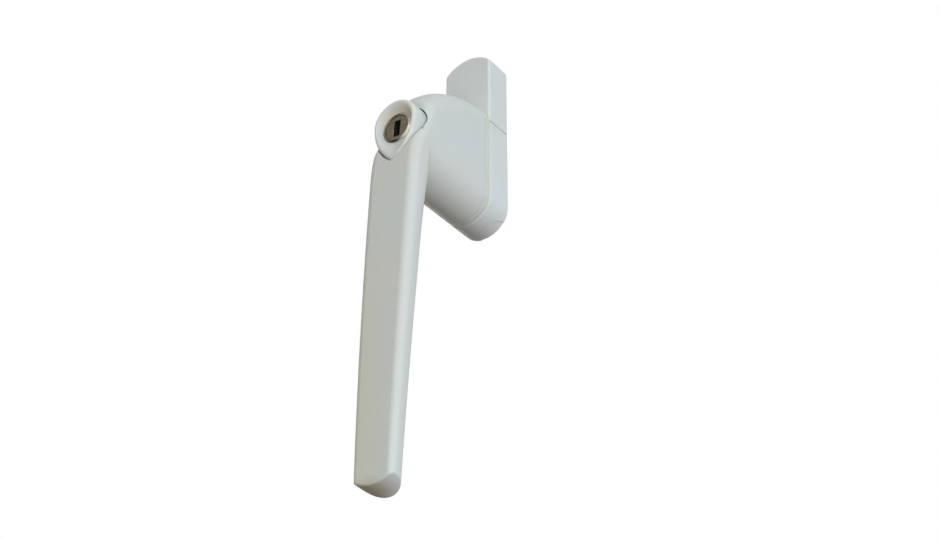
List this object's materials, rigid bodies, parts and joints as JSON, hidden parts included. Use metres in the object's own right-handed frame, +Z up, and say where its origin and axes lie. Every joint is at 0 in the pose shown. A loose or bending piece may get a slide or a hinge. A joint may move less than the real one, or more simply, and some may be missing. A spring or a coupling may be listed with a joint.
{
  "type": "espagnolette window handle",
  "caption": "Lockable window handle: a long lever cranked out from a slim base, turning a square spindle, with a push-in key lock in its nose and a slide-off screw cover.",
  "frame": {"origin": "where the spindle axis meets the sash face that the base is screwed to", "axes": "+Z up along the base, away from the lever's free end at rest; -Y out towards the user; +X the user's right"},
  "size_m": [0.017, 0.0498, 0.1612],
  "materials": {
    "white_coat": "satin white coat",
    "button_plastic": "glossy white",
    "glide_plastic": "off-white slippery plastic",
    "bush_plastic": "black slippery plastic",
    "lock_nickel": "satin nickel over brass",
    "plated_steel": "zinc plated",
    "spring_steel": "drawn wire",
    "wafer_brass": "stamped"
  },
  "bodies": {
    "base": {"base_plate": "white_coat", "bearing_bush": "bush_plastic", "detent_balls": "plated_steel", "detent_springs": "spring_steel", "back_plate": "plated_steel"},
    "screw_cover": {"screw_cover": "white_coat"},
    "lever": {"lever": "white_coat", "glide_plate": "glide_plastic", "spindle_follower": "plated_steel", "detent_disc": "plated_steel", "circlip": "spring_steel", "keeper_plate": "plated_steel", "keeper_screws": "plated_steel", "return_spring": "spring_steel"},
    "push_button": {"push_button": "button_plastic", "lock_barrel": "lock_nickel", "lock_bolt": "plated_steel", "locking_pin": "plated_steel"},
    "key_plug": {"key_plug": "lock_nickel", "wafers": "wafer_brass", "lock_cam": "plated_steel", "cam_screw": "plated_steel"}
  },
  "joints": [
    {"name": "handle_turn", "type": "hinge", "parent": "base", "child": "lever", "pos_m": [0, 0, 0], "axis": [0, 1, 0], "range_deg": [-90, 90]},
    {"name": "lock_push", "type": "slide", "parent": "lever", "child": "push_button", "axis": [0, 1, 0], "range_m": [0, 0.004], "stiffness_N_per_m": 400, "springref_m": -0.004, "deforming": ["return_spring"]},
    {"name": "key_turn", "type": "hinge", "parent": "push_button", "child": "key_plug", "pos_m": [0, 0, -0.015], "axis": [0, 1, 0], "range_deg": [0, 90]},
    {"name": "cover_slide", "type": "slide", "parent": "base", "child": "screw_cover", "axis": [0, 0, 1], "range_m": [0, 0.022]}
  ]
}
